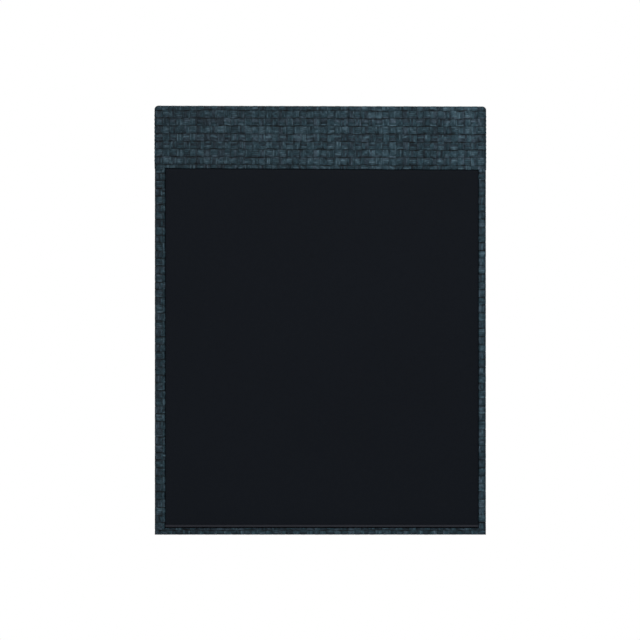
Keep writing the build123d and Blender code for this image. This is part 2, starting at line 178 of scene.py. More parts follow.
class Tree:
    """Short calls for building a material out of nodes."""

    def __init__(self, name):
        self.material = bpy.data.materials.new(name)
        self.material.use_nodes = True
        self.nodes, self.links = self.material.node_tree.nodes, self.material.node_tree.links
        self.shader = self.nodes["Principled BSDF"]

    def put(self, socket, value):
        if isinstance(value, bpy.types.NodeSocket):
            self.links.new(value, socket)
        else:
            socket.default_value = value

    def node(self, kind, inputs, **settings):
        node = self.nodes.new("ShaderNode" + kind)
        for key, value in settings.items():
            setattr(node, key, value)
        for socket, value in inputs.items():
            self.put(node.inputs[socket], value)
        return node

    def math(self, operation, a, b=0.0):
        return self.node("Math", {0: a, 1: b}, operation=operation).outputs[0]

    def chain(self, operation, first, *others):
        for value in others:
            first = self.math(operation, first, value)
        return first

    def plus(self, *values):
        return self.chain("ADD", *values)

    def minus(self, *values):
        return self.chain("SUBTRACT", *values)

    def times(self, *values):
        return self.chain("MULTIPLY", *values)

    def from_middle(self, value):
        """0 in the middle of a unit and 1 at both of its ends."""
        return self.math("ABSOLUTE", self.minus(self.times(value, 2.0), 1.0))

    def remap(self, value, low, high, to_low, to_high):
        inputs = {"Value": value, "From Min": low, "From Max": high, "To Min": to_low, "To Max": to_high}
        return self.node("MapRange", inputs).outputs["Result"]

    def spread(self, noise, low, high):
        """A noise's usual range, 0.3 to 0.7, carried to another one."""
        return self.remap(noise, 0.3, 0.7, low, high)

    def pick(self, switch, a, b):
        """a where switch is 0 and b where it is 1."""
        return self.node("Mix", {0: switch, 2: a, 3: b}, data_type="FLOAT").outputs[0]

    def mix(self, factor, a, b, blend="MIX"):
        return self.node("Mix", {0: factor, 6: a, 7: b}, data_type="RGBA", blend_type=blend).outputs[2]

    def noise(self, vector, scale, detail=2.0, roughness=0.5):
        inputs = {"Vector": vector, "Scale": scale, "Detail": detail, "Roughness": roughness}
        return self.node("TexNoise", inputs).outputs["Fac"]

    def cells(self, vector, scale):
        return self.node("TexVoronoi", {"Vector": vector, "Scale": scale}).outputs["Distance"]

    def random(self, x, y, z):
        return self.node("TexWhiteNoise", {"Vector": self.vector(x, y, z)}).outputs["Value"]

    def vector(self, x, y, z):
        return self.node("CombineXYZ", {0: x, 1: y, 2: z}).outputs[0]

    def split(self, vector):
        return self.node("SeparateXYZ", {0: vector}).outputs

    def stretch(self, vector, x, y, z):
        return self.node("VectorMath", {0: vector, 1: (x, y, z)}, operation="MULTIPLY").outputs[0]

    def ramp(self, value, *stops):
        """A colour for each value. Each stop is a place and its colour."""
        node = self.node("ValToRGB", {"Fac": value})
        elements = node.color_ramp.elements
        while len(elements) < len(stops):
            elements.new(0.5)
        for element, (place, colour) in zip(elements, stops):
            element.position, element.color = place, colour
        return node.outputs["Color"]

    def bump(self, height, distance, strength=1.0):
        inputs = {"Height": height, "Distance": distance, "Strength": strength}
        return self.node("Bump", inputs).outputs["Normal"]

    def place(self):
        return self.node("TexCoord", {}).outputs["Object"]

    def finish(self, colour, roughness, normal=None, specular=None, **constants):
        self.put(self.shader.inputs["Base Color"], colour)
        self.put(self.shader.inputs["Roughness"], roughness)
        if normal is not None:
            self.put(self.shader.inputs["Normal"], normal)
        if specular is not None:
            constants["Specular IOR Level"] = specular
        for name, value in constants.items():
            self.shader.inputs[name.replace("_", " ")].default_value = value
        return self.material


YARN_DARK, YARN_TEAL, YARN_LIGHT = srgb(13, 28, 35), srgb(36, 56, 65), srgb(68, 89, 100)
YARN_SHADOW, YARN_GREY, YARN_PALE = srgb(15, 26, 33), srgb(36, 50, 59), srgb(65, 82, 94)
GREY_SHARE = 0.28
# GAP_SHADE: how deep the painted shade in the weave's gaps goes. HEM_SHADE: how much colour the painted shade
# just above the hem leaves.
GAP_SHADE, HEM_SHADE = 0.9, 0.8


class Weave:
    """Where a point lies in the weave: its block, its strand, and how far it is across and along them."""

    def __init__(self, t):
        self.place = t.node("Attribute", {}, attribute_name="weave").outputs["Vector"]
        self.x, self.y, _ = t.split(self.place)
        self.column, self.row = t.math("FLOOR", self.x), t.math("FLOOR", self.y)
        self.in_x, self.in_y = t.math("FRACT", self.x), t.math("FRACT", self.y)
        self.level = t.math("FLOORED_MODULO", t.plus(self.column, self.row), 2.0)
        self.along = t.pick(self.level, self.in_y, self.in_x)
        self.line = t.pick(self.level, self.column, self.row)
        self.station = t.pick(self.level, self.row, self.column)
        self.strand = t.times(t.pick(self.level, self.in_x, self.in_y), float(STRANDS))
        self.number = t.math("FLOOR", self.strand)
        self.roundness = t.minus(1.0, t.math("POWER", t.from_middle(t.math("FRACT", self.strand)), 2.5))
        self.yarn = t.random(self.line, self.number, self.level)


def yarn_colour(t, w):
    """Slate and teal yarns: each has its own tone, which drifts along it and over the cloth."""
    yarn_number = t.plus(t.times(w.line, 4.0), w.number)
    place = t.vector(t.times(yarn_number, 7.31), t.plus(w.station, w.along), t.times(w.level, 31.0))
    drift = t.spread(t.noise(place, 0.9, 2.0, 0.6), 0.0, 1.0)
    cloud = t.remap(t.noise(w.place, 0.16, 2.0), 0.35, 0.65, 0.0, 1.0)
    block = t.random(w.column, w.row, 7.0)
    tone = t.plus(t.times(w.yarn, 0.22), t.times(drift, 0.48), t.times(block, 0.18), t.times(cloud, 0.12))
    teal = t.ramp(tone, (0.15, YARN_DARK), (0.5, YARN_TEAL), (0.85, YARN_LIGHT))
    grey = t.ramp(tone, (0.15, YARN_SHADOW), (0.5, YARN_GREY), (0.85, YARN_PALE))
    return t.mix(t.math("GREATER_THAN", t.random(w.line, w.number, 3.0), 1.0 - GREY_SHARE), teal, grey)


def painted_gap_shade(t, w):
    """Painted shade in the gaps between rows, columns and strands, where the cloth dips. All of them come and
    go.
    """
    ragged = t.noise(w.place, 0.7, 3.0, 0.6)
    row_gap = t.times(
        t.remap(t.from_middle(w.in_y), 0.70, 0.97, 0.0, 1.0),
        t.remap(ragged, 0.40, 0.60, 0.25, 1.1),
    )
    column_gap = t.times(
        t.remap(t.from_middle(w.in_x), 0.76, 0.97, 0.0, 1.0),
        t.remap(t.noise(t.stretch(w.place, 1.0, 1.7, 1.0), 0.8, 2.0), 0.42, 0.62, 0.0, 0.7),
    )
    strand_gap = t.times(
        t.remap(w.roundness, 0.0, 0.7, 1.0, 0.0),
        t.remap(t.math("POWER", t.random(w.column, w.row, 13.0), 2.2), 0.0, 1.0, 0.15, 1.0),
    )
    return t.chain("MAXIMUM", row_gap, column_gap, strand_gap)


def weave_shade(t, w, fibre):
    """How much of the yarn's colour shows: painted shade in the gaps and at the strand ends, a painted
    highlight over each block's middle, less towards the left, a little more at the foot, and painted shade
    just above the hem.
    """
    hem = OPEN_TOP / BLOCK_H
    above_hem = t.remap(w.y, hem, hem + 0.35, HEM_SHADE, 1.0)
    on_header = t.math("GREATER_THAN", w.y, hem - 0.1)
    return t.times(
        # painted shade in the gaps between rows, columns and strands
        t.minus(1.0, t.times(painted_gap_shade(t, w), GAP_SHADE)),
        t.spread(fibre, 0.84, 1.16),
        t.spread(t.noise(w.place, 2.6, 2.0, 0.6), 0.74, 1.26),
        # painted highlight over each block's middle, and painted shade at its ends where the strands dive
        # under
        t.remap(t.math("POWER", t.from_middle(w.along), 2.0), 0.0, 1.0, 1.12, 0.8),
        t.remap(w.x, -24.0, 24.0, 0.80, 1.15),
        t.remap(w.y, -27.7, -26.2, 1.05, 1.0),
        # painted shade on the header's rows just above the hem, where its edge turns under
        t.pick(on_header, 1.0, above_hem),
    )


def woven_vinyl():
    """Coarse blocks of four flat strands, upright and level in turn, in mixed slate and teal yarns, with
    painted shade and painted highlights over them.
    """
    t = Tree("woven_vinyl")
    w = Weave(t)
    fibre = t.noise(t.vector(t.times(w.strand, 5.0), t.times(w.along, 2.2), w.yarn), 1.6, 3.0, 0.6)
    shade = weave_shade(t, w, fibre)
    colour = t.mix(1.0, yarn_colour(t, w), t.vector(shade, shade, shade), "MULTIPLY")
    dive = t.minus(1.0, t.math("POWER", t.from_middle(w.along), 4.0))
    height = t.times(t.plus(w.roundness, t.times(fibre, 0.35)), dive)
    return t.finish(colour, t.spread(fibre, 0.5, 0.68), t.bump(height, 0.22 * MM), 0.12)


def black_vinyl(name, colour, roughness, specular=0.06):
    """Matte vinyl with a fine leather grain and a few dull specks."""
    t = Tree(name)
    place = t.place()
    creases = t.noise(place, 420.0, 4.0, 0.6)
    height = t.plus(t.times(t.cells(place, 1500.0), 0.7), t.times(creases, 0.5))
    darker, lighter, dull = (tuple(k * v for v in colour[:3]) + (1.0,) for k in (0.96, 1.04, 0.8))
    tint = t.mix(t.spread(t.noise(place, 9.0, 3.0), 0.0, 1.0), darker, lighter)
    speck = t.remap(t.noise(place, 55.0, 0.0), 0.82, 0.9, 0.0, 1.0)
    rough = t.spread(creases, roughness - 0.05, roughness + 0.05)
    return t.finish(t.mix(speck, tint, dull), rough, t.bump(height, 0.09 * MM, 0.7), specular)


def foam(name, dark, light, pore):
    """Cut foam: open pores of mixed size, with painted shade in their hollows, in a slightly uneven colour."""
    t = Tree(name)
    place = t.place()
    pores = t.cells(place, 1.0 / pore)
    # The pores' hollows are painted darker than the walls between them: painted shade
    tone = t.plus(t.times(pores, 0.6), t.times(t.noise(place, 60.0, 3.0), 0.5))
    return t.finish(t.ramp(tone, (0.2, dark), (0.75, light)), 0.92, t.bump(pores, 0.5 * pore), 0.15)


def plywood():
    """Birch ply: long grain on the faces, and plies in turn across the edges."""
    t = Tree("plywood")
    place = t.place()
    ply_t = 1.35 * MM
    ply = t.math("FLOORED_MODULO", t.math("FLOOR", t.times(t.split(place)[1], 1.0 / ply_t)), 2.0)
    grain = t.noise(t.stretch(place, 260.0, 260.0, 9.0), 1.0, 5.0, 0.65)
    figure = t.ramp(grain, (0.3, srgb(172, 136, 92)), (0.5, srgb(206, 176, 132)), (0.7, srgb(222, 198, 158)))
    tint = t.mix(t.times(ply, 0.45), figure, srgb(150, 112, 74))
    return t.finish(tint, t.spread(grain, 0.55, 0.75), t.bump(grain, 0.15 * MM), 0.3)


ALONG_X, ALL_WAYS = (8.0, 900.0, 900.0), (300.0, 300.0, 300.0)


def brushed_metal(name, dark, light, roughness, along=ALL_WAYS):
    """Metal with fine lines drawn along it, and the odd scuff."""
    t = Tree(name)
    place = t.place()
    lines = t.noise(t.stretch(place, *along), 1.0, 3.0, 0.6)
    scuffs = t.noise(t.stretch(place, 60.0, 60.0, 60.0), 1.0, 5.0, 0.7)
    tint = t.ramp(t.plus(t.times(lines, 0.6), t.times(scuffs, 0.4)), (0.35, dark), (0.65, light))
    scuffed = t.remap(scuffs, 0.5, 0.75, 0.0, 0.12)
    rough = t.plus(t.spread(lines, roughness - 0.06, roughness + 0.08), scuffed)
    return t.finish(tint, rough, t.bump(lines, 0.03 * MM, 0.6), Metallic=1.0)


def moulded_rubber():
    t = Tree("bumper_rubber")
    bloom = t.noise(t.place(), 240.0, 4.0, 0.65)
    tint = t.ramp(bloom, (0.3, srgb(20, 20, 21)), (0.7, srgb(38, 38, 40)))
    return t.finish(tint, t.spread(bloom, 0.62, 0.8), t.bump(bloom, 0.12 * MM), 0.35)


def nonwoven_cloth():
    """Spun-bonded cloth: a random mat of fibres, point-bonded in a fine lattice."""
    t = Tree("dust_cloth")
    place = t.place()
    fibres = t.noise(t.stretch(place, 1900.0, 1900.0, 260.0), 1.0, 3.0, 0.7)
    crossing = t.noise(t.stretch(place, 260.0, 1900.0, 1900.0), 1.0, 3.0, 0.7)
    x, _, z = t.split(place)
    waves = TURN / (1.9 * MM)
    up, down = t.times(t.plus(x, z), waves), t.times(t.minus(x, z), waves)
    dots = t.times(t.math("SINE", up), t.math("SINE", down))
    mat = t.plus(t.times(fibres, 0.5), t.times(crossing, 0.5))
    height = t.minus(mat, t.remap(dots, 0.3, 0.8, 0.0, 0.35))
    tint = t.ramp(height, (0.2, srgb(16, 16, 18)), (0.5, srgb(34, 34, 37)), (0.7, srgb(56, 56, 60)))
    return t.finish(tint, 0.88, t.bump(height, 0.14 * MM), 0.2, Sheen_Weight=0.1)


def plain_cloth():
    """Plain-woven backing cloth, with painted shade in the hollows between its threads and slubs in its own
    tone.
    """
    t = Tree("backing_cloth")
    place = t.place()
    x, _, z = t.split(place)
    waves = TURN / (1.1 * MM)
    height = t.times(t.math("SINE", t.times(x, waves)), t.math("SINE", t.times(z, waves)))
    slub = t.noise(t.stretch(place, 40.0, 40.0, 900.0), 1.0, 2.0)
    # the bump height in the tint is painted shade in the weave's hollows; the slubs are the yarn's own tone
    tint = t.ramp(t.plus(t.times(height, 0.2), slub), (0.3, srgb(40, 40, 42)), (0.8, srgb(92, 92, 94)))
    return t.finish(tint, 0.9, t.bump(height, 0.15 * MM), 0.15)


def thread():
    t = Tree("thread")
    twist = t.noise(t.place(), 2600.0, 2.0)
    tint = t.ramp(twist, (0.3, srgb(48, 64, 70)), (0.7, srgb(92, 112, 120)))
    return t.finish(tint, 0.55, t.bump(twist, 0.08 * MM), 0.3)


def pale_floor():
    t = Tree("floor")
    tint = t.ramp(t.noise(t.place(), 3.0, 4.0), (0.2, srgb(226, 226, 225)), (0.8, srgb(232, 232, 231)))
    return t.finish(tint, 0.7, None, 0.2)


MATERIALS = {
    "woven_vinyl": woven_vinyl(),
    "face_vinyl": black_vinyl("face_vinyl", srgb(14, 18, 24), 0.66),
    # The welt is the face's black vinyl painted lighter: a painted highlight for the light that its rounded
    # top catches.
    "welt_vinyl": black_vinyl("welt_vinyl", srgb(36, 37, 43), 0.6, 0.1),
    "soft_foam": foam("soft_foam", srgb(150, 146, 132), srgb(214, 210, 196), 1.1 * MM),
    "impact_foam": foam("impact_foam", srgb(48, 50, 53), srgb(82, 85, 88), 0.9 * MM),
    "firm_foam": foam("firm_foam", srgb(44, 60, 66), srgb(120, 112, 104), 4.5 * MM),
    "plywood": plywood(),
    "bar_aluminium": brushed_metal("bar_aluminium", srgb(168, 170, 173), srgb(214, 216, 218), 0.34, ALONG_X),
    "zinc_steel": brushed_metal("zinc_steel", srgb(150, 152, 154), srgb(206, 208, 208), 0.3),
    "eyelet_metal": brushed_metal("eyelet_metal", srgb(70, 70, 70), srgb(128, 126, 122), 0.32),
    "bumper_rubber": moulded_rubber(),
    "dust_cloth": nonwoven_cloth(),
    "backing_cloth": plain_cloth(),
    "thread": thread(),
    "floor": pale_floor(),
}


# ------------------------------------------------------------------ mesh helpers


def new_object(name, points, faces, look, body):
    """A closed mesh in the row frame, facing outwards, that rides on a body. look names its material."""
    mesh = bpy.data.meshes.new(name)
    mesh.from_pydata([tuple(p) for p in points], [], faces)
    mesh.validate()
    mesh.materials.append(MATERIALS[look])
    mesh.polygons.foreach_set("use_smooth", [True] * len(mesh.polygons))
    piece = add(bpy.data.objects.new(name, mesh))
    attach(piece, body)
    face_outwards(piece)
    return piece


def face_outwards(piece):
    """Turns every face of a closed mesh outwards."""
    bpy.context.view_layer.objects.active = piece
    for other in bpy.context.selected_objects:
        other.select_set(False)
    piece.select_set(True)
    bpy.ops.object.mode_set(mode="EDIT")
    bpy.ops.mesh.select_all(action="SELECT")
    bpy.ops.mesh.normals_make_consistent(inside=False)
    bpy.ops.object.mode_set(mode="OBJECT")


def coordinates(mesh):
    """The places of a mesh's points, one a row."""
    places = np.empty(len(mesh.vertices) * 3)
    mesh.vertices.foreach_get("co", places)
    return places.reshape(-1, 3)


def grid_faces(rows, columns, start=0, close=False):
    """The quads of a grid of points that is stored row by row. close joins the last row to the first."""
    first = np.arange(rows if close else rows - 1)[:, None] * columns
    second = (first + columns) % (rows * columns)
    k = np.arange(columns - 1)[None, :]
    quads = np.stack([first + k, first + k + 1, second + k + 1, second + k], axis=-1)
    return (quads.reshape(-1, 4) + start).tolist()


def spread(low, high, pitch):
    return np.linspace(low, high, max(2, round((high - low) / pitch) + 1))


ISLANDS = {}


def islands(node):
    """The middles of a CAD node's separate bodies."""
    if node in ISLANDS:
        return ISLANDS[node]
    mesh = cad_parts[node].data
    group = np.arange(len(mesh.vertices))
    edges = np.empty(len(mesh.edges) * 2, int)
    mesh.edges.foreach_get("vertices", edges)
    edges = edges.reshape(-1, 2)
    before = None
    while before is None or (group != before).any():
        before = group.copy()
        low = np.minimum(group[edges[:, 0]], group[edges[:, 1]])
        np.minimum.at(group, edges[:, 0], low)
        np.minimum.at(group, edges[:, 1], low)
        group = group[group]
    places = coordinates(mesh)
    bodies = [places[group == number] for number in np.unique(group)]
    ISLANDS[node] = [Vector((body.min(0) + body.max(0)) / 2) for body in bodies]
    return ISLANDS[node]


# ------------------------------------------------------------------ woven cover


class Section:
    """A polyline with rounded corners in a plane, read by the distance along it.

    c grows inwards from the pad's outer face, y towards the wall, and the normal points out of the cloth.
    """

    ARC_STEPS = 6

    def __init__(self, corners, radii):
        corners = np.array(corners, float)
        runs = np.diff(corners, axis=0)
        runs /= np.linalg.norm(runs, axis=1)[:, None]
        places, normals, distances, self.marks = [corners[0]], [self.left(runs[0])], [0.0], [0.0]
        for corner, before, after, radius in zip(corners[1:-1], runs[:-1], runs[1:], radii):
            turn = math.atan2(before[0] * after[1] - before[1] * after[0], before @ after)
            start = corner - before * radius * math.tan(abs(turn) / 2)
            side = math.copysign(radius, turn)
            centre = start + self.left(before) * side
            self.marks.append(distances[-1] + np.linalg.norm(start - places[-1]))
            for k in range(self.ARC_STEPS + 1):
                angle = turn * k / self.ARC_STEPS
                n = self.left(before) * math.cos(angle) - before * math.sin(angle)
                places.append(centre - n * side)
                normals.append(n)
                distances.append(self.marks[-1] + abs(angle) * radius)
            self.marks.append(distances[-1])
        distances.append(distances[-1] + np.linalg.norm(corners[-1] - places[-1]))
        places.append(corners[-1])
        normals.append(self.left(runs[-1]))
        self.marks.append(distances[-1])
        self.s, self.places, self.normals = np.array(distances), np.array(places), np.array(normals)
        self.length = distances[-1]

    @staticmethod
    def left(direction):
        return np.array([-direction[1], direction[0]])

    def at(self, s):
        """c, y and the normal's c and y at distances s."""
        values = [np.interp(s, self.s, v) for v in (*self.places.T, *self.normals.T)]
        size = np.hypot(values[2], values[3])
        return values[0], values[1], values[2] / size, values[3] / size

    def middle(self, low_mark, high_mark):
        return (self.marks[low_mark] + self.marks[high_mark]) / 2


# How each side's along and across coordinates lie in the row frame
LAYOUT = {
    "left": lambda a, c, y: (c, y, a),
    "right": lambda a, c, y: (-c, y, a),
    "bottom": lambda a, c, y: (a, y, c),
    "top": lambda a, c, y: (a, y, -c),
}
RNG = np.random.default_rng(7)
FIELD, TABLE = 96, 64
WANDER_FIELDS = RNG.uniform(-1, 1, (2, FIELD, FIELD))
BLOCK_LIFT = RNG.uniform(0.7, 1.0, (TABLE, TABLE))
STRAND_LIFT = RNG.uniform(0.8, 1.0, (TABLE, TABLE))


def weave_height(p, q):
    """The weave's height from 0 to 1 at block coordinates: upright and level blocks of strands in turn."""
    column, row = np.floor(p).astype(int), np.floor(q).astype(int)
    upright = (column + row) % 2 == 0
    across = np.where(upright, p - column, q - row)
    along = np.where(upright, q - row, p - column)
    line = np.where(upright, column, row) * STRANDS + np.floor(across * STRANDS).astype(int)
    arch = np.sin(np.pi * along) ** 0.55
    strand = 0.62 + 0.38 * np.abs(np.sin(np.pi * STRANDS * across))
    uneven = BLOCK_LIFT[column % TABLE, row % TABLE] * STRAND_LIFT[line % TABLE, (column + row) % TABLE]
    return arch * strand * uneven


def blend_cells(i, j, fi, fj, value):
    """Between a cell's four corners: value gives a corner's value, and fi and fj are how far across it is."""
    left = value(i, j) * (1 - fj) + value(i, j + 1) * fj
    right = value(i + 1, j) * (1 - fj) + value(i + 1, j + 1) * fj
    return left * (1 - fi) + right * fi


def wander(field, x, z):
    """How far the threads stray from their true places, from -1 to 1."""
    i, j = x / WANDER_CELL + FIELD // 2, z / WANDER_CELL + FIELD // 2
    i0, j0 = np.floor(i).astype(int), np.floor(j).astype(int)
    value = lambda m, n: WANDER_FIELDS[field][m % FIELD, n % FIELD]
    return blend_cells(i0, j0, smooth(i - i0), smooth(j - j0), value)


def grid_lines(start, end, pitch, marks=()):
    """Lines from start to end that fall on the strands' edges and crests, and on the marks."""
    fixed = np.unique(np.round([start, end, *[m for m in marks if start < m < end]], 7))
    on_strands = np.arange(math.ceil(start / pitch), math.floor(end / pitch) + 1) * pitch
    clear = np.abs(on_strands[:, None] - fixed[None, :]).min(1) > 0.3 * pitch
    return np.sort(np.concatenate([on_strands[clear], fixed]))


def remap_ends(a, low, high, new_low, new_high):
    """Slides the lines near both ends so that they finish at new_low and new_high instead of low and high."""
    head = np.clip((low + END_RUN - a) / END_RUN, 0, 1)
    tail = np.clip((a - high + END_RUN) / END_RUN, 0, 1)
    return a + head * (new_low - low) + tail * (new_high - high)


def strip(first, first_s, second, second_s):
    """Triangles between two rows of points, given by their first numbers and their points' distances."""
    faces, k = [], 0
    last = len(first_s) - 1
    for j in range(last + 1):
        while k + 1 < len(second_s) and (second_s[k + 1] <= first_s[j] or j == last):
            faces.append([first + j, second + k, second + k + 1])
            k += 1
        if j < last:
            faces.append([first + j, second + k, first + j + 1])
    return faces


def punch(outer, inner, holes):
    """Opens round holes through both faces of a panel's foot wall. Gives the kept cells and the rims."""
    rows, columns = outer.shape[:2]
    kept = np.ones((rows - 1, columns - 1), bool)
    middles = (outer[:-1, :-1] + outer[1:, 1:]) / 2
    for x, y in holes:
        distance = np.hypot(middles[..., 0] - x, middles[..., 1] - y)
        kept &= (distance > HOLE_R) | (np.abs(middles[..., 2] - BOTTOM) > 3 * MM)
    rims, start = [], rows * columns
    for i, j in zip(*np.nonzero(~kept)):
        sides = {(i - 1, j): ((i, j), (i, j + 1)), (i + 1, j): ((i + 1, j + 1), (i + 1, j))}
        sides |= {(i, j - 1): ((i + 1, j), (i, j)), (i, j + 1): ((i, j + 1), (i + 1, j + 1))}
        for corners in [pair for neighbour, pair in sides.items() if kept[neighbour]]:
            first, second = (a * columns + b for a, b in corners)
            rims.append([first, second, start + second, start + first])
            for a, b in corners:
                centre = min(holes, key=lambda hole: abs(outer[a, b, 0] - hole[0]))
                for shell, height in ((outer, BOTTOM), (inner, BOTTOM + SHEET_T)):
                    off = shell[a, b, :2] - centre
                    shell[a, b, :2] = centre + off * HOLE_R / np.linalg.norm(off)
                    shell[a, b, 2] = height
    return kept, rims


class Panel:
    """One sewn panel of the woven cover: a section swept along one side of the pad, from low to high.

    front_s is the distance along the section where the weave lies as on the flat front. ends gives both ends
    for places in the section and end_radius the radius that they bend round. The inner face has stations from
    the section's mark inner_from on.
    """

    def __init__(self, side, section, low, high, front_s, ends, end_radius=None, inner_from=0):
        self.side, self.section, self.low, self.high, self.front_s = side, section, low, high, front_s
        self.ends, self.end_radius = ends, end_radius
        self.inner_stations = section.marks[inner_from:]
        self.front_c = float(section.at(front_s)[0])
        upright = side in ("left", "right")
        self.pitch_along = (BLOCK_H if upright else BLOCK_W) / LINES_PER_BLOCK
        self.pitch_across = (BLOCK_W if upright else BLOCK_H) / LINES_PER_BLOCK

    def unrolled(self, s):
        """The across coordinate, carried on round the corners as if the cloth lay flat with the front."""
        return self.front_c - (s - self.front_s)

    def relief(self, y, nc, ny, edge, flat_run):
        """How much relief the cloth has: none at its ends, and little where it is turned over or taut."""
        behind = smooth((y - BACK + 1 * MM) / (1 * MM)) * smooth(ny)
        near_front = smooth((FRONT + TAUT_DEPTH - y) / TAUT_FADE)
        taut = near_front * smooth(-nc * 1.5)
        share = (1 - (1 - TURNOVER_RELIEF) * behind) * (1 - (1 - TAUT_RELIEF) * taut)
        if self.end_radius:
            bent = near_front * smooth((1 * MM - flat_run) / (4 * MM))
            share = share * (1 - (1 - TAUT_RELIEF) * bent)
        return RELIEF * share * smooth(edge / SEAM_FADE)

    def bend_ends(self, a, a_shown, c, y, nc, ny, end, radius):
        """Bends the cloth round at its ends, away from the way it faces. end is how far each end reaches."""
        straight = end - radius * QUARTER
        past = (np.abs(a) - straight) / np.maximum(radius, 1e-9)
        angle = np.where(radius > 0, np.clip(past, 0, QUARTER), 0.0)
        on_hem = (nc > 0) & (y < FRONT + 2 * MM)
        body_c, body_y = np.where(on_hem, 0.0, np.minimum(nc, 0)), np.where(on_hem, -1.0, ny)
        inwards = radius * (1 - np.cos(angle))
        a_shown = np.where(angle > 0, np.sign(a) * (straight + radius * np.sin(angle)), a_shown)
        normal = np.sign(a) * np.sin(angle), nc * np.cos(angle), ny * np.cos(angle)
        return a_shown, c - body_c * inwards, y - body_y * inwards, *normal

    def surface(self, a, s, raised):
        """Places in the row frame and weave coordinates for along and section coordinates."""
        u = self.unrolled(s)
        from_edge, from_end = np.minimum(s, self.section.length - s), np.minimum(a - self.low, self.high - a)
        loose = smooth(from_edge / HELD_EDGE) * smooth(from_end / HELD_END)
        c, y, nc, ny = self.section.at(s + WANDER * loose * wander(0, a, u))
        low, high = self.ends(c, y, ny)
        a = remap_ends(a, self.low, self.high, low, high)
        x_like, _, z_like = LAYOUT[self.side](a, u, 0 * u)
        p, q = x_like / BLOCK_W, z_like / BLOCK_H
        edge = np.minimum(a - low, high - a)
        radius = self.end_radius(y) if self.end_radius else 0 * y
        flat_run = edge - radius * QUARTER
        height = self.relief(y, nc, ny, edge, flat_run) * (weave_height(p, q) - 0.5)
        sway = SWAY * smooth(flat_run / SWAY_FADE) * np.sin(u * TURN / SWAY_LENGTH + 1.0)
        free = np.where(radius > 0, smooth(flat_run / WANDER_FADE), 1.0) * loose
        a_shown, na = a + sway + WANDER * free * wander(1, a, u), 0 * a
        if self.end_radius:
            end = np.abs(np.where(a < 0, low, high))
            a_shown, c, y, na, nc, ny = self.bend_ends(a, a_shown, c, y, nc, ny, end, radius)
        depth = height if raised else np.full_like(height, -SHEET_T)
        places = LAYOUT[self.side](a_shown + na * depth, c + nc * depth, y + ny * depth)
        return np.stack(places, axis=-1), p, q

    def build(self, name, move=None, holes=()):
        """A closed shell: raised outer face, plain inner face, rims. holes are centres on the foot wall."""
        along = grid_lines(self.low, self.high, self.pitch_along)
        marks = [self.unrolled(mark) for mark in self.section.marks]
        across = grid_lines(self.unrolled(self.section.length), self.unrolled(0.0), self.pitch_across, marks)
        outer_s = (self.front_s + self.front_c - across)[::-1]
        inner_s = outer_s if holes else np.unique(self.inner_stations)
        outer, p, q = self.surface(*np.meshgrid(along, outer_s, indexing="ij"), True)
        inner, inner_p, inner_q = self.surface(*np.meshgrid(along, inner_s, indexing="ij"), False)
        rows, n_out, n_in = len(along), len(outer_s), len(inner_s)
        start = rows * n_out
        kept, hole_rims = punch(outer, inner, holes)
        faces = grid_faces(rows, n_out) + [f[::-1] for f in grid_faces(rows, n_in, start)]
        if holes:
            faces = [face for face, keep in zip(faces, np.tile(kept.ravel(), 2)) if keep] + hole_rims
        for k in range(rows - 1):
            out_a, out_b, in_a, in_b = k * n_out, (k + 1) * n_out, start + k * n_in, start + (k + 1) * n_in
            faces.append([out_a, out_b, in_b, in_a])
            faces.append([out_b + n_out - 1, out_a + n_out - 1, in_a + n_in - 1, in_b + n_in - 1])
        for k in (0, rows - 1):
            faces += strip(k * n_out, outer_s, start + k * n_in, inner_s)
        points = np.concatenate([outer.reshape(-1, 3), inner.reshape(-1, 3)])
        pattern = [np.stack([x, y, 0 * y], axis=-1).reshape(-1, 3) for x, y in ((p, q), (inner_p, inner_q))]
        used = np.unique(np.concatenate([np.asarray(face) for face in faces]))
        number = np.zeros(len(points), int)
        number[used] = np.arange(len(used))
        points = move(points[used]) if move else points[used]
        piece = new_object(name, points, [number[face].tolist() for face in faces], "woven_vinyl", "pad")
        weave = piece.data.attributes.new("weave", "FLOAT_VECTOR", "POINT")
        weave.data.foreach_set("vector", np.concatenate(pattern)[used].astype(np.float32).ravel())
        return piece


def header_drop(x, z):
    """The header sits a little askew: lower to the right, and more so at its hem than at the top."""
    towards_hem = np.clip((TOP - z) / (TOP - OPEN_TOP), 0, 1)
    return -x * (HEADER_SLOPE_TOP + (HEADER_SLOPE_HEM - HEADER_SLOPE_TOP) * towards_hem)


def settle_header(points):
    """Tilts the header's cloth, and lets its hem wave slightly."""
    points = points.copy()
    x, z = points[:, 0].copy(), points[:, 2].copy()
    wave = 0.14 * MM * np.sin(x * TURN / (41 * MM)) * smooth((OPEN_TOP + 9 * MM - z) / (8 * MM))
    points[:, 2] = z + header_drop(x, z) + wave
    return points


def wavy_lip(points):
    """The left border's inner edge wanders slightly."""
    points = points.copy()
    x, y, z = points.T
    near_lip = smooth((x - OPEN_LEFT + 5 * MM) / (5 * MM)) * smooth((FRONT + 9 * MM - y) / (6 * MM))
    points[:, 0] += near_lip * 0.16 * MM * (np.sin(z * TURN / (29 * MM)) + np.sin(z * TURN / (11 * MM)))
    return points


def border_section(outer, inner):
    """Return, lip, outer wall and turned-over edge of a plain border, between two across coordinates."""
    lip, wall = [(inner, FRONT + RETURN_DEPTH), (inner, FRONT)], [(outer, FRONT), (outer, BACK)]
    return Section(lip + wall + [(outer + TURNOVER, BACK)], [LIP_R, EDGE_R, BACK_R])


def mitre(outer, border, other_border):
    """How far a panel's end is cut back at the foot corner, by how far in the cloth lies."""
    slope = lambda y: np.where(y > (FRONT + BACK) / 2, 1.0, other_border / border)
    return lambda c, y: np.maximum(c - outer, 0.0) * slope(y)


